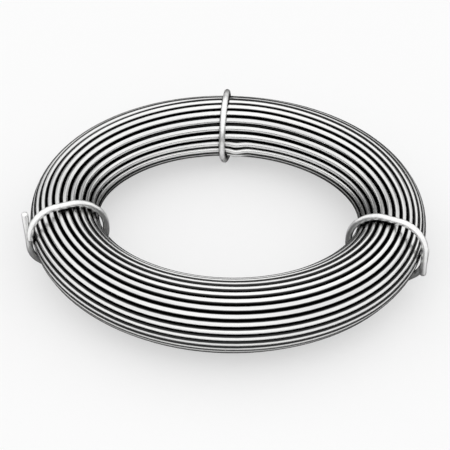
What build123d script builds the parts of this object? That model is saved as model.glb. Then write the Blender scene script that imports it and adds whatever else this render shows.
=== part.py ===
from build123d import *
import math
import os

os.makedirs("parts", exist_ok=True)

# ---------------------------------------------------------------- driving dimensions, mm
wire_d = 3.0            # spring wire
coil_mean_r = 76.3      # middle of the bundle to the axis of the ring
bundle_w = 16.0         # half width of the bundle of turns, over the wires
bundle_h = 15.6         # half height of the bundle of turns, over the wires
outer_turns = 28        # turns that show round the outside of the bundle

tie_d = 3.0             # soft tie wire
tie_gap = 0.15          # between a tie and the turns that it holds
tie_end_round = 1.0     # rounding of a cut end
tie_lap = tie_d + 0.1   # side by side distance of a tie's two ends

# a tie's middle line runs at these distances from the middle of the bundle
U = bundle_w + tie_d / 2 + tie_gap
V = bundle_h + tie_d / 2 + tie_gap
mid_z = V + tie_d / 2   # the ring rests on the undersides of its ties, at z = 0


# ---------------------------------------------------------------- coil of spring wire
def turn_centres(count):
    """Centres of the outer turns, evenly spaced round the bundle's section."""
    a, b = bundle_w - wire_d / 2, bundle_h - wire_d / 2
    steps = 7200
    pts = [(a * math.cos(2 * math.pi * i / steps), b * math.sin(2 * math.pi * i / steps)) for i in range(steps + 1)]
    run = [0.0]
    for p, q in zip(pts, pts[1:]):
        run.append(run[-1] + math.dist(p, q))
    centres, i = [], 0
    for k in range(count):
        target = (k + 0.5) * run[-1] / count
        while run[i] < target:
            i += 1
        centres.append((coil_mean_r + pts[i][0], mid_z + pts[i][1]))
    return centres


with BuildPart() as wire_coil:
    with BuildSketch(Plane.XZ):
        with Locations((coil_mean_r, mid_z)):
            Ellipse(bundle_w - wire_d / 2, bundle_h - wire_d / 2)
        with Locations(*turn_centres(outer_turns)):
            Circle(wire_d / 2)
    revolve(axis=Axis.Z)
wire_coil.part.label = "wire_coil"


# ---------------------------------------------------------------- ties
# A tie is one short wire bent round the bundle. Its two ends lie side by side at the outside
# of the ring, and one of them may run on as a free end. Points are (outward, up, along), all
# from the middle of the bundle, and along is counted in half laps.
bend = 15.0             # usual bend radius of a tie
bend_shoulder = 12.4    # bend radius at a square outer shoulder


def tie_points(azimuth, yaw, stations):
    """Corners of a tie's middle line; azimuth places it on the ring, yaw turns it from radial."""
    a, b = math.radians(azimuth), math.radians(azimuth + yaw)
    out = []
    for u, v, s in stations:
        s *= tie_lap / 2
        out.append((coil_mean_r * math.cos(a) + u * math.cos(b) - s * math.sin(b),
                    coil_mean_r * math.sin(a) + u * math.sin(b) + s * math.cos(b),
                    mid_z + v))
    return out


def under(inner, outer, clear=0.0):
    """The stretch below the bundle, which drifts from one place along the ring to another."""
    return [(-0.414 * U, -V, 0.6 * inner + 0.4 * outer), (0.414 * U, -V, 0.2 * inner + 0.8 * outer),
            (U + clear, -0.414 * V, outer)]


# back tie: both ends short
back_pts = tie_points(92.4, -8.5, [(U + 0.3, -5.0, 0.3), (U + 0.3, 0.414 * V, 0.3), (0.414 * U, V + 0.05, 0.0),
                                   (-0.414 * (U + 0.7), V + 0.05, -0.3), (-U - 0.7, 0.414 * V, -0.5),
                                   (-U - 0.4, -0.414 * V, -0.5)] + under(-0.5, -1.7, 0.3) + [(U + 0.3, 4.0, -1.7)])
back_radii = [bend, bend, bend, bend, bend, bend, bend, 13.0]

# left tie: the end that comes from below stands up beside the bundle
left_pts = tie_points(196.5, 12.1, [(U + 0.3, 2.8, 1.2), (U + 0.3, V + 0.2, 1.2),
                                    (-0.414 * (U + 0.2), V + 0.3, 2.1), (-U - 0.2, 0.414 * V, 2.1),
                                    (-U - 0.2, -0.414 * V, 2.1)] + under(2.1, -0.8)
                      + [(U + 0.1, 1.4, -0.8), (U + 1.0, 16.3, -0.8)])
left_radii = [bend_shoulder, bend, bend, bend, bend, bend, 13.0, 20.0]

# right tie: the end that comes over the top hangs down beside the bundle
right_pts = tie_points(339.4, -8.0, [(U + 1.2, -7.2, -0.2), (U, V + 0.5, -0.2),
                                     (-0.414 * U, V, -1.1), (-U, 0.414 * V, -1.1),
                                     (-U, -0.414 * V, -1.1)] + under(-1.1, 1.8) + [(U + 0.1, 5.0, 1.8)])
right_radii = [bend_shoulder, bend, bend, bend, bend, bend, 13.0]


with BuildPart() as back_tie:
    with BuildLine() as back_line:
        FilletPolyline(*back_pts, radius=back_radii)
    with BuildSketch(Plane(origin=back_line.line @ 0, z_dir=back_line.line % 0)):
        Circle(tie_d / 2)
    sweep()
    fillet(back_tie.faces().filter_by(GeomType.PLANE).edges(), tie_end_round)
back_tie.part.label = "back_tie"

with BuildPart() as left_tie:
    with BuildLine() as left_line:
        FilletPolyline(*left_pts, radius=left_radii)
    with BuildSketch(Plane(origin=left_line.line @ 0, z_dir=left_line.line % 0)):
        Circle(tie_d / 2)
    sweep()
    fillet(left_tie.faces().filter_by(GeomType.PLANE).edges(), tie_end_round)
left_tie.part.label = "left_tie"

with BuildPart() as right_tie:
    with BuildLine() as right_line:
        FilletPolyline(*right_pts, radius=right_radii)
    with BuildSketch(Plane(origin=right_line.line @ 0, z_dir=right_line.line % 0)):
        Circle(tie_d / 2)
    sweep()
    fillet(right_tie.faces().filter_by(GeomType.PLANE).edges(), tie_end_round)
right_tie.part.label = "right_tie"

section = math.pi * tie_d ** 2 / 4
for node, line in ((back_tie, back_line), (left_tie, left_line), (right_tie, right_line)):
    run_length = line.wires()[0].length
    print(node.part.label, "length %.1f mm" % run_length,
          "volume %.1f mm3" % node.part.volume, "section x length %.1f mm3" % (section * run_length))
print("wire_coil volume %.1f mm3" % wire_coil.part.volume)

export_step(wire_coil.part, "parts/wire_coil.step")
export_step(back_tie.part, "parts/back_tie.step")
export_step(left_tie.part, "parts/left_tie.step")
export_step(right_tie.part, "parts/right_tie.step")
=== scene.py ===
import math

import bpy
import numpy as np
from mathutils import Matrix, Vector
from mathutils.bvhtree import BVHTree


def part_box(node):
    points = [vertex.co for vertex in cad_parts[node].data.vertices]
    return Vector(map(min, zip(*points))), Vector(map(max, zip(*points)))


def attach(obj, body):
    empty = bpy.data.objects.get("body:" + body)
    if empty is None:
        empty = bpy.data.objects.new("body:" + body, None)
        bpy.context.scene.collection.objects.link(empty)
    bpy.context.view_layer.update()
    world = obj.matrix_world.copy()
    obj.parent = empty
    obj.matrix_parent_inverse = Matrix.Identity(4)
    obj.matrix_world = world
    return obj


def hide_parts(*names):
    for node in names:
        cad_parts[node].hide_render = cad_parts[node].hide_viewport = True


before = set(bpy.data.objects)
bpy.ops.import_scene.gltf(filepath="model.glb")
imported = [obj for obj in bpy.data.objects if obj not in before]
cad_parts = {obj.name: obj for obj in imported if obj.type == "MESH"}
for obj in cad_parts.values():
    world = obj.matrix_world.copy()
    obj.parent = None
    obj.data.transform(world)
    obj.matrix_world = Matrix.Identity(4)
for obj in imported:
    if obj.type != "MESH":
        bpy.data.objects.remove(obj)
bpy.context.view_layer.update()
scene = bpy.context.scene

# ------------------------------------------------------------------ sizes, metres
MM = 0.001
WIRE_D = 3.0 * MM
COIL_R = 76.3 * MM           # middle of the bundle to the ring's axis
BUNDLE_W = 16.0 * MM         # half width and half height of the bundle, over the wires
BUNDLE_H = 15.6 * MM
coil_lo, coil_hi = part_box("wire_coil")
MID_Z = (coil_lo[2] + coil_hi[2]) / 2

TURNS = 78                   # turns of the one wire
OUTER = 27.0                 # turns in the outermost layer
START = 110.0                # azimuth of both wire ends, degrees
STEPS = 72                   # stations to a turn while the turns are packed

# ------------------------------------------------------------------ camera: the photo's view
PX = COIL_R / 162.43         # metres to a pixel at the ring's middle
ELEV, ROLL = math.radians(35.17), math.radians(1.45)
FOCAL = 1190.4               # focal length in pixels of the 450-pixel frame, also the distance
eye = Vector((0, -math.cos(ELEV), math.sin(ELEV))) * FOCAL * PX + Vector((0, 0, MID_Z))
aim = Vector((-3.21, 0, -18.41)) * PX + Vector((0, 0, MID_Z))
ahead = (aim - eye).normalized()
right = ahead.cross(Vector((0, 0, 1))).normalized()
up = right.cross(ahead)
c, s = math.cos(ROLL), math.sin(ROLL)
right, up = right * c + up * s, up * c - right * s
cam_data = bpy.data.cameras.new("camera")
cam = bpy.data.objects.new("camera", cam_data)
scene.collection.objects.link(cam)
cam.matrix_world = Matrix((
    (right.x, up.x, -ahead.x, eye.x),
    (right.y, up.y, -ahead.y, eye.y),
    (right.z, up.z, -ahead.z, eye.z),
    (0, 0, 0, 1)))
cam_data.sensor_fit = "HORIZONTAL"
cam_data.sensor_width = 36
cam_data.lens = FOCAL * 36 / 450
cam_data.clip_start, cam_data.clip_end = 0.01, 20
scene.camera = cam


# ------------------------------------------------------------------ the wire's path
# A place in the bundle is an angle round its section, 0 outward and 90 up. Turn numbers of the
# outermost layer run from the seam underneath, over the top and back to it. DRIFT holds how the
# layer's turns wander with azimuth: harmonics of azimuth, one row for each power of the turn number.
DRIFT = (
    (83.64, 0.18, 29.12, 0.45, 2.78, 1.39, 3.81, -0.61, 1.33, 1.13, -0.28, 0.29, -0.05, 0.78, 0.49),
    (81.5, -2.43, 9.91, 0.13, -1.73, -0.3, 1.4, 1.38, -0.52, -0.35, 0.91),
    (-3.62, 1.52, -3.62, -0.75, 1.98, 0.1, -0.2),
    (7.56, -0.21, 6.57))
LAST_TURN = 14               # number of the turn at the wire's outer end
# first and last turn on the upper side of the bundle, by azimuth
UPPER_AT = (110, 140, 180, 200, 215, 230, 245, 275, 290, 305, 335, 350, 365, 395, 410, 440, 470)
UPPER_FIRST = (0.4, 0, -.8, -1.8, -2.7, -3.7, -4.6, -4.6, -3.5, -2.5, -1.4, -.4, -.4, .7, .8, .9, 1.4)
UPPER_LAST = (8, 8, 8.2, 7.2, 6.3, 6.3, 6.4, 5.5, 6.5, 6.5, 7.6, 8.6, 7.7, 7.8, 7.8, 7.9, 8)


def wander(turn, azimuth):
    a, c = np.deg2rad(azimuth), (turn - 2) / 6
    out = 0.0
    for power, row in enumerate(DRIFT):
        wave = row[0]
        for h in range(1, (len(row) + 1) // 2):
            wave = wave + row[2 * h - 1] * np.cos(h * a) + row[2 * h] * np.sin(h * a)
        out = out + c ** power * wave
    return out


def layer_angle(turn, azimuth):
    first = np.interp(azimuth, UPPER_AT, UPPER_FIRST)
    last = np.interp(azimuth, UPPER_AT, UPPER_LAST)
    low, high = wander(first, azimuth), wander(last, azimuth)
    pitch = (360 - (high - low)) / (OUTER - (last - first))
    inside = wander(np.clip(turn, first, last), azimuth)
    return inside + np.maximum(turn - last, 0) * pitch + np.minimum(turn - first, 0) * pitch


def pack_turns(rounds):
    """Places of the wire in the bundle's section, in wire-end order, STEPS to a turn, in mm."""
    d = WIRE_D / MM
    w, h = BUNDLE_W / MM - d / 2, BUNDLE_H / MM - d / 2
    i = np.arange(TURNS * STEPS + 1)
    azimuth = START + (i % STEPS) * 360.0 / STEPS
    azimuth[-1] = START + 360
    turn = i / STEPS - TURNS + LAST_TURN
    outer = turn >= LAST_TURN - OUTER
    angle = np.deg2rad(layer_angle(turn, azimuth))
    sway = np.deg2rad(layer_angle(np.full(len(i), 2.0), azimuth) - 100)
    p = np.zeros((len(i), 2))
    track = np.stack([w * np.cos(angle[outer]), h * np.sin(angle[outer])], -1)
    p[outer] = track
    inner = np.flatnonzero(~outer)
    r, a = 11.2, math.radians(-90)
    for k in inner[::-1]:
        step = 2.9 / STEPS / max(r, 1.9)
        a -= step
        r = max(r - step * 2.8 / (2 * math.pi), 0.6)
        b = a + sway[k]
        p[k] = (r * math.cos(b) * w / 14.06, r * math.sin(b) * h / 14.06)
    same = np.eye(TURNS, dtype=bool)
    for n in range(rounds):
        q = p[:-1].reshape(TURNS, STEPS, 2).transpose(1, 0, 2).astype(np.float32)
        dx = q[:, :, None, 0] - q[:, None, :, 0]
        dy = q[:, :, None, 1] - q[:, None, :, 1]
        gap = np.sqrt(dx * dx + dy * dy) + 1e-6
        gap[:, same] = 99.0
        k = 0.45 * np.maximum(0, d * 1.01 - gap) / gap
        push = np.stack([(k * dx).sum(2), (k * dy).sum(2)], -1)
        p[:-1] += push.transpose(1, 0, 2).reshape(-1, 2)
        late = n / rounds
        p[outer] += (0.15 if late < 0.6 else 0.03) * (track - p[outer])
        p[1:-1] += (0.5 if late < 0.87 else 0.2) * (0.5 * (p[:-2] + p[2:]) - p[1:-1])
        p /= np.maximum(np.sqrt((p[:, 0] / w) ** 2 + (p[:, 1] / h) ** 2), 1)[:, None]
    return p


def route_line(points, order):
    """The smooth line of one open NURBS spline with these control points, as Blender draws it."""
    data = bpy.data.curves.new("route", "CURVE")
    data.dimensions = "3D"
    data.resolution_u = 3
    line = data.splines.new("NURBS")
    line.points.add(len(points) - 1)
    line.points.foreach_set("co", np.column_stack([points, np.ones(len(points))]).ravel())
    line.order_u = order
    line.use_endpoint_u = True
    holder = bpy.data.objects.new("route", data)
    mesh = bpy.data.meshes.new_from_object(holder)
    out = np.zeros(len(mesh.vertices) * 3)
    mesh.vertices.foreach_get("co", out)
    bpy.data.meshes.remove(mesh)
    bpy.data.objects.remove(holder)
    bpy.data.curves.remove(data)
    return out.reshape(-1, 3)


def tube(name, pts, radius, sides):
    """A round tube along pts with closed ends. 'along' holds the place on the wire for its finish."""
    tan = np.gradient(pts, axis=0)
    tan /= np.linalg.norm(tan, axis=1)[:, None]
    run = np.concatenate([[0], np.cumsum(np.linalg.norm(np.diff(pts, axis=0), axis=1))])
    up0 = np.array([0.0, 0.0, 1.0])
    side = np.cross(tan, up0)
    side /= np.linalg.norm(side, axis=1)[:, None]
    lift = np.cross(side, tan)
    ang = np.arange(sides) * 2 * np.pi / sides
    ring = np.cos(ang)[None, :, None] * side[:, None] + np.sin(ang)[None, :, None] * lift[:, None]
    verts = (pts[:, None] + radius * ring).reshape(-1, 3)
    n = len(pts)
    k = np.arange(n - 1)[:, None] * sides
    j = np.arange(sides)[None]
    j2 = (j + 1) % sides
    quads = np.stack([k + j, k + j2, k + sides + j2, k + sides + j], -1).reshape(-1, 4)
    quads = quads[:, ::-1]
    along = np.stack([np.broadcast_to(radius * np.cos(ang), (n, sides)),
                      np.broadcast_to(radius * np.sin(ang), (n, sides)),
                      np.broadcast_to(run[:, None], (n, sides))], -1).reshape(-1, 3)
    # domed ends in three rings
    extra_v, extra_a, faces = [], [], [tuple(q) for q in quads.tolist()]
    count = len(verts)
    for end, sign in ((0, -1.0), (n - 1, 1.0)):
        prev = [end * sides + x for x in range(sides)]
        base_t = tan[end] * sign
        for fr, ft in ((0.93, 0.14), (0.78, 0.24), (0.5, 0.30)):
            ringv = pts[end] + radius * fr * ring[end] + base_t * radius * ft
            extra_v.append(ringv)
            extra_a.append(np.stack([radius * fr * np.cos(ang), radius * fr * np.sin(ang), np.full(sides, run[end])], -1))
            cur = list(range(count, count + sides))
            count += sides
            for x in range(sides):
                y = (x + 1) % sides
                f = (prev[x], prev[y], cur[y], cur[x])
                faces.append(f if sign < 0 else f[::-1])
            prev = cur
        faces.append(tuple(prev[::-1]) if sign > 0 else tuple(prev))
    verts = np.concatenate([verts] + extra_v)
    along = np.concatenate([along] + extra_a)
    mesh = bpy.data.meshes.new(name)
    mesh.from_pydata(verts.tolist(), [], faces)
    mesh.update()
    att = mesh.attributes.new("along", "FLOAT_VECTOR", "POINT")
    att.data.foreach_set("vector", along.astype(np.float32).ravel())
    for poly in mesh.polygons:
        poly.use_smooth = True
    obj = bpy.data.objects.new(name, mesh)
    scene.collection.objects.link(obj)
    return obj


place = pack_turns(1500)
bpy.context.view_layer.update()
TIES = []
for node in ("back_tie", "left_tie", "right_tie"):
    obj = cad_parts[node]
    TIES.append(BVHTree.FromPolygons([obj.matrix_world @ v.co for v in obj.data.vertices],
                                     [tuple(f.vertices) for f in obj.data.polygons]))


def to_ties(points, reach):
    """Distance of each point from the nearest tie's surface, no more than reach."""
    out = np.full(len(points), reach)
    for n, point in enumerate(points.tolist()):
        for tree in TIES:
            far = tree.find_nearest(point, reach)[3]
            if far is not None:
                out[n] = min(out[n], far)
    return out


def bulge(p, azimuth):
    """The small kink in the lowest inner turns just beside the back tie, as a push out of the bundle."""
    u, v = p[:, 0] / (BUNDLE_W / MM - 1.5), p[:, 1] / (BUNDLE_H / MM - 1.5)
    angle, far = np.degrees(np.arctan2(v, u)) % 360, np.hypot(u, v)
    off = (azimuth - KINK_AT + 180) % 360 - 180
    push = 1.5 * np.exp(-0.5 * (off / 2.0) ** 2)
    push = push * np.clip((angle - 160) / 25, 0, 1) * np.clip((228 - angle) / 10, 0, 1) * np.clip((far - 0.9) / 0.05, 0, 1)
    return p * (1 + push / 14.3)[:, None]


KINK_AT = 87.3               # its azimuth, degrees


def place_at(i):
    """Places in the section at stations that may lie between those packed, on a smooth curve."""
    k = np.clip(np.floor(i).astype(int), 1, len(place) - 3)
    f = (i - k)[:, None]
    a, b, c, d = place[k - 1], place[k], place[k + 1], place[k + 2]
    p = b + 0.5 * f * (c - a + f * (2 * a - 5 * b + 4 * c - d + f * (3 * (b - c) + d - a)))
    return bulge(p, START + i * 360 / STEPS)


def on_ring(i, out=0.0):
    """Points of the wire's middle line, or of its side away from the bundle's middle."""
    p = place_at(i)
    p = p * (1 + out / np.hypot(p[:, 0], p[:, 1]))[:, None] * MM
    a = math.radians(START) + i * 2 * math.pi / STEPS
    r = COIL_R + p[:, 0]
    return np.stack([r * np.cos(a), r * np.sin(a), MID_Z + p[:, 1]], -1)


CONTROL = 36                 # the spline's control points to a turn, with more beside the ties
SEEN = TURNS - int(OUTER) - 2    # turns before this one are never seen, as they lie under the skin
fine = np.arange((SEEN + 0.5) * STEPS, TURNS * STEPS - 1, 0.5)
close = to_ties(on_ring(fine, 1.5), 4 * MM) < 4 * MM
near_kink = np.abs((START + fine * 360 / STEPS - KINK_AT + 180) % 360 - 180) < 7
p = place_at(fine)
low_inner = (p[:, 0] < -9) & (p[:, 1] < 6) & (np.hypot(p[:, 0], p[:, 1]) > 13)
fine = fine[close | (near_kink & low_inner)]
stations = np.unique(np.concatenate([np.arange(0, TURNS * STEPS + 1, STEPS // CONTROL), fine]))
route = on_ring(stations)
gap = np.gradient(stations) * 2 * math.pi / STEPS
route[:, :2] /= (0.75 + 0.25 * np.cos(gap))[:, None]      # the spline passes inside its points
path = route_line(route, 3)
hidden = SEEN * CONTROL * 3      # the hidden turns get fewer stations along the wire
stations_seen = len(path) - hidden
path = np.concatenate([path[:hidden:3], path[hidden:]])
SIDES = 16
wire = tube("spring_wire", path, WIRE_D / 2, SIDES)


def openness(obj, sides, first):
    """How far each point of the wire's surface is from the nearest other turn or tie, in wire radii. Round
    the crown of a turn it is about 1.2, and it is 0 down in the groove between two turns and under the skin.
    Where it is low, the wire's colour is painted black, as painted shade."""
    co = np.zeros(len(obj.data.vertices) * 3)
    obj.data.vertices.foreach_get("co", co)
    co = co.reshape(-1, 3)
    out = np.full(len(co), 1.2)
    pick = np.arange(first * sides, len(path) * sides)
    q = co[pick] / MM
    u, v = np.hypot(q[:, 0], q[:, 1]) - COIL_R / MM, q[:, 2] - MID_Z / MM
    at = (np.unwrap(np.arctan2(path[:, 1], path[:, 0])) / (2 * math.pi) - START / 360) * STEPS
    at = np.clip(at[pick // sides], 0, TURNS * STEPS - 1e-6)
    own = (at // STEPS).astype(int)
    at = at - own * STEPS
    k = np.minimum(at.astype(int), STEPS - 1)
    f = at - k
    near = np.full(len(q), 1e9)
    for n in range(TURNS):
        c = place[n * STEPS + k] * (1 - f)[:, None] + place[n * STEPS + k + 1] * f[:, None]
        near = np.minimum(near, np.where(own == n, 1e9, np.hypot(u - c[:, 0], v - c[:, 1])))
    tie = to_ties(co[pick], 3 * MM) / MM / TIE_SHADE
    value = np.minimum(near / (WIRE_D / MM / 2) - 1, tie)
    value -= 0.1 * np.clip(co[pick, 1] / COIL_R, 0, 1)      # the painted groove shade reaches wider at the back
    # turns under the skin are painted black, as painted shade
    value[own + at / STEPS < TURNS - OUTER] = 0
    out[:first * sides] = 0
    out[pick] = value
    return np.clip(out, 0, 2)


TIE_SHADE = 1.3              # the painted shade round a tie reaches this far, mm, where the painted shade round a turn reaches one radius
open_att = wire.data.attributes.new("open", "FLOAT", "POINT")
open_att.data.foreach_set("value", openness(wire, SIDES, len(path) - stations_seen).astype(np.float32))
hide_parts("wire_coil")
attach(wire, "root")


# ------------------------------------------------------------------ materials
def nodes_of(name):
    mat = bpy.data.materials.new(name)
    mat.use_nodes = True
    nt = mat.node_tree
    nt.nodes.clear()
    out = nt.nodes.new("ShaderNodeOutputMaterial")
    bsdf = nt.nodes.new("ShaderNodeBsdfPrincipled")
    nt.links.new(bsdf.outputs[0], out.inputs[0])
    return mat, nt, bsdf


def noise(nt, vector, scale, detail, rough=0.5):
    n = nt.nodes.new("ShaderNodeTexNoise")
    n.inputs["Scale"].default_value = scale
    n.inputs["Detail"].default_value = detail
    n.inputs["Roughness"].default_value = rough
    nt.links.new(vector, n.inputs["Vector"])
    return n.outputs["Fac"]


def ramp(nt, fac, lo, hi, a, b):
    m = nt.nodes.new("ShaderNodeMapRange")
    m.inputs["From Min"].default_value = lo
    m.inputs["From Max"].default_value = hi
    m.inputs["To Min"].default_value = a
    m.inputs["To Max"].default_value = b
    nt.links.new(fac, m.inputs["Value"])
    return m.outputs["Result"]


def bundle_distance(nt, where):
    """Distance of a point from the middle of the bundle of turns, where 1 is the bundle's own surface."""
    def math_node(kind, *inputs):
        m = nt.nodes.new("ShaderNodeMath")
        m.operation = kind
        for slot, x in zip(m.inputs, inputs):
            if isinstance(x, float):
                slot.default_value = x
            else:
                nt.links.new(x, slot)
        return m.outputs[0]
    xyz = nt.nodes.new("ShaderNodeSeparateXYZ")
    nt.links.new(where, xyz.inputs[0])
    r = math_node("SQRT", math_node("ADD", math_node("POWER", xyz.outputs[0], 2.0), math_node("POWER", xyz.outputs[1], 2.0)))
    u = math_node("DIVIDE", math_node("SUBTRACT", r, COIL_R), BUNDLE_W)
    v = math_node("DIVIDE", math_node("SUBTRACT", xyz.outputs[2], MID_Z), BUNDLE_H)
    return math_node("SQRT", math_node("ADD", math_node("POWER", u, 2.0), math_node("POWER", v, 2.0)))


def steel(name, light, dark, rough_lo, rough_hi, draw_bump, metallic, attribute, painted_shade):
    mat, nt, bsdf = nodes_of(name)
    if attribute:
        src = nt.nodes.new("ShaderNodeAttribute")
        src.attribute_name = "along"
        vec = src.outputs["Vector"]
    else:
        vec = nt.nodes.new("ShaderNodeTexCoord").outputs["Object"]
    lines = nt.nodes.new("ShaderNodeMapping")
    lines.inputs["Scale"].default_value = (1, 1, 0.02) if attribute else (1, 1, 1)
    nt.links.new(vec, lines.inputs["Vector"])
    fine = noise(nt, lines.outputs[0], 2600, 3)
    broad = noise(nt, lines.outputs[0], 500, 2)
    cloud = nt.nodes.new("ShaderNodeMapping")
    cloud.inputs["Scale"].default_value = (1, 1, 0.25) if attribute else (1, 1, 1)
    nt.links.new(vec, cloud.inputs["Vector"])
    patch = noise(nt, cloud.outputs[0], 60, 3)
    mix = nt.nodes.new("ShaderNodeMix")
    mix.data_type = "RGBA"
    mix.inputs["A"].default_value = (*dark, 1)
    mix.inputs["B"].default_value = (*light, 1)
    nt.links.new(ramp(nt, broad, 0.35, 0.6, 0, 1), mix.inputs["Factor"])
    colour = mix.outputs["Result"]
    if attribute:
        groove = nt.nodes.new("ShaderNodeAttribute")
        groove.attribute_name = "open"
        groove = groove.outputs["Fac"]
    else:
        groove = bundle_distance(nt, vec)
    # Painted shade: where the mask runs low, in the grooves between turns and where a tie lies against the turns, the
    # base colour is mixed to near black (0.03).
    if painted_shade:
        shade_mix = nt.nodes.new("ShaderNodeMix")
        shade_mix.data_type = "RGBA"
        shade_mix.inputs["A"].default_value = (0.03, 0.03, 0.03, 1)
        m = ramp(nt, groove, *painted_shade, 0, 1)
        m.node.interpolation_type = "SMOOTHSTEP"
        nt.links.new(m, shade_mix.inputs["Factor"])
        nt.links.new(colour, shade_mix.inputs["B"])
        colour = shade_mix.outputs["Result"]
    nt.links.new(colour, bsdf.inputs["Base Color"])
    add = nt.nodes.new("ShaderNodeMath")
    add.operation = "ADD"
    nt.links.new(ramp(nt, fine, 0.3, 0.7, rough_lo, rough_hi), add.inputs[0])
    nt.links.new(ramp(nt, patch, 0.35, 0.7, -0.03, 0.05), add.inputs[1])
    nt.links.new(add.outputs[0], bsdf.inputs["Roughness"])
    bump = nt.nodes.new("ShaderNodeBump")
    bump.inputs["Strength"].default_value = draw_bump
    bump.inputs["Distance"].default_value = 0.00004
    nt.links.new(fine, bump.inputs["Height"])
    nt.links.new(bump.outputs[0], bsdf.inputs["Normal"])
    bsdf.inputs["Metallic"].default_value = metallic
    bsdf.inputs["Specular Tint"].default_value = (0, 0, 0, 1)      # the steel darkens where it is seen edge-on
    return mat


# painted shade: the wire's colour goes black where the open attribute is low, in the grooves, under the skin and
# round the ties
wire_steel = steel("bright_drawn_steel", (0.88, 0.88, 0.87), (0.76, 0.76, 0.76), 0.2, 0.3, 0.5, 1.0, True, (0.7, 1.0))
wire.data.materials.append(wire_steel)
# painted shade: the tie's colour goes black where it lies at or inside the bundle's surface, against the turns
tie_steel = steel("galvanised_tie_wire", (0.95, 0.95, 0.94), (0.88, 0.88, 0.88), 0.32, 0.42, 0.3, 0.95, False, (1.0, 1.06))
for node in ("back_tie", "left_tie", "right_tie"):
    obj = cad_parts[node]
    obj.data.materials.clear()
    obj.data.materials.append(tie_steel)


# ------------------------------------------------------------------ floor, light
SKY_BAND, SKY_PATCH, SKY_BASE, SKY_DUSK = 0.2, 0.1, 1.31, 0.95
floor_mesh = bpy.data.meshes.new("floor")
S = 6.0
floor_mesh.from_pydata([(-S, -S, 0), (S, -S, 0), (S, S, 0), (-S, S, 0)], [], [(0, 1, 2, 3)])
floor = bpy.data.objects.new("floor", floor_mesh)
scene.collection.objects.link(floor)
floor_mat, nt, bsdf = nodes_of("pale_floor")
where = nt.nodes.new("ShaderNodeTexCoord").outputs["Object"]


def distance(nt, where, y, lo, hi, a, b):
    """A soft step with distance from a point on the floor's middle line."""
    d = nt.nodes.new("ShaderNodeVectorMath")
    d.operation = "DISTANCE"
    d.inputs[1].default_value = (0, y, 0)
    nt.links.new(where, d.inputs[0])
    out = ramp(nt, d.outputs["Value"], lo, hi, a, b)
    out.node.interpolation_type = "SMOOTHSTEP"
    return out


rim = nt.nodes.new("ShaderNodeMath")
rim.operation = "MULTIPLY"
parts = nt.nodes.new("ShaderNodeSeparateXYZ")
nt.links.new(where, parts.inputs[0])
front = ramp(nt, parts.outputs[1], -0.02, 0.02, 1, 0)
nt.links.new(distance(nt, where, 0.04, 0.125, 0.15, 0, 1), rim.inputs[0])
nt.links.new(front, rim.inputs[1])
painted_reflection = nt.nodes.new("ShaderNodeMix")            # painted reflection: the floor as the bright wire mirrors it, painted dark at the coil's foot and behind it, pale only on the floor in front, clear of the coil, and in a spot in the coil's eye
painted_reflection.data_type = "RGBA"
painted_reflection.inputs["A"].default_value = (0.06, 0.06, 0.06, 1)
painted_reflection.inputs["B"].default_value = (0.95, 0.95, 0.95, 1)
eye_floor = distance(nt, where, 0.035, 0.03, 0.05, 1, 0)
either = nt.nodes.new("ShaderNodeMath")
either.operation = "MAXIMUM"
nt.links.new(rim.outputs[0], either.inputs[0])
nt.links.new(eye_floor, either.inputs[1])
nt.links.new(either.outputs[0], painted_reflection.inputs["Factor"])
# Only glossy rays, the wire's reflections, see the painted floor above; the camera and diffuse light see a pale floor
# of 0.4 with its glow.
floor_mix = nt.nodes.new("ShaderNodeMix")
floor_mix.data_type = "RGBA"
floor_mix.inputs["A"].default_value = (0.4, 0.4, 0.4, 1)
nt.links.new(painted_reflection.outputs["Result"], floor_mix.inputs["B"])
mirrored = nt.nodes.new("ShaderNodeLightPath").outputs["Is Glossy Ray"]
nt.links.new(mirrored, floor_mix.inputs["Factor"])
nt.links.new(floor_mix.outputs["Result"], bsdf.inputs["Base Color"])
bsdf.inputs["Emission Color"].default_value = (1, 1, 1, 1)      # the floor is a softly lit table
nt.links.new(ramp(nt, mirrored, 0, 1, 0.53, 0), bsdf.inputs["Emission Strength"])
bsdf.inputs["Roughness"].default_value = 0.9
bsdf.inputs["Specular IOR Level"].default_value = 0.1
floor_mesh.materials.append(floor_mat)

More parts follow.
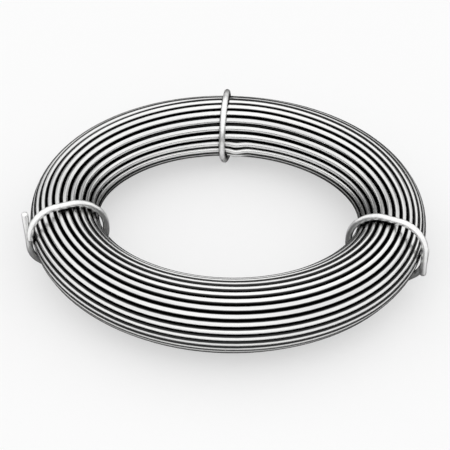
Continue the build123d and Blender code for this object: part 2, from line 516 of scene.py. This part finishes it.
# The studio is one soft sky: a broad bright band overhead from front to back, a lower bright patch at
# the back on each side, and a dark card low at the back between them, for the turns' edges to mirror.
world = bpy.data.worlds.new("studio")
world.use_nodes = True
scene.world = world
nt = world.node_tree
nt.nodes.clear()
sky = nt.nodes.new("ShaderNodeBackground")
back = nt.nodes.new("ShaderNodeBackground")
seen = nt.nodes.new("ShaderNodeMixShader")
out = nt.nodes.new("ShaderNodeOutputWorld")
nt.links.new(nt.nodes.new("ShaderNodeLightPath").outputs["Is Camera Ray"], seen.inputs[0])
nt.links.new(sky.outputs[0], seen.inputs[1])
nt.links.new(back.outputs[0], seen.inputs[2])
nt.links.new(seen.outputs[0], out.inputs[0])
back.inputs[0].default_value = (0.96, 0.96, 0.96, 1)      # as pale as the floor, so low views show no horizon


def calc(kind, a, b=None):
    m = nt.nodes.new("ShaderNodeMath")
    m.operation = kind
    for i, x in enumerate((a, b)):
        if x is not None:
            if isinstance(x, (int, float)):
                m.inputs[i].default_value = x
            else:
                nt.links.new(x, m.inputs[i])
    return m.outputs[0]


def smooth(x, lo, hi, a, b):
    out = ramp(nt, x, lo, hi, a, b)
    out.node.interpolation_type = "SMOOTHSTEP"
    return out


axes = nt.nodes.new("ShaderNodeSeparateXYZ")
nt.links.new(nt.nodes.new("ShaderNodeTexCoord").outputs["Generated"], axes.inputs[0])
x, y, z = axes.outputs
side = calc("ABSOLUTE", x)
band = calc("MULTIPLY", smooth(side, 0.2, 0.6, 1, 0), smooth(z, -0.02, 0.25, 0, 1))
toward = calc("ADD", calc("ADD", calc("MULTIPLY", side, 0.6), calc("MULTIPLY", y, 0.76)), calc("MULTIPLY", z, 0.25))
patch = calc("MULTIPLY", smooth(toward, 0.75, 0.97, 0, 1), smooth(z, -0.02, 0.1, 0, 1))
light = calc("ADD", calc("ADD", calc("MULTIPLY", band, SKY_BAND), calc("MULTIPLY", patch, SKY_PATCH)), SKY_BASE)
dusk = calc("MULTIPLY", smooth(y, 0.4, 0.7, 0, 1), calc("MULTIPLY", smooth(side, 0.34, 0.58, 1, 0), smooth(z, 0.36, 0.6, 1, 0)))
light = calc("MULTIPLY", light, calc("SUBTRACT", 1.0, calc("MULTIPLY", dusk, SKY_DUSK)))
nt.links.new(light, sky.inputs[1])
scene.view_settings.view_transform = "Standard"
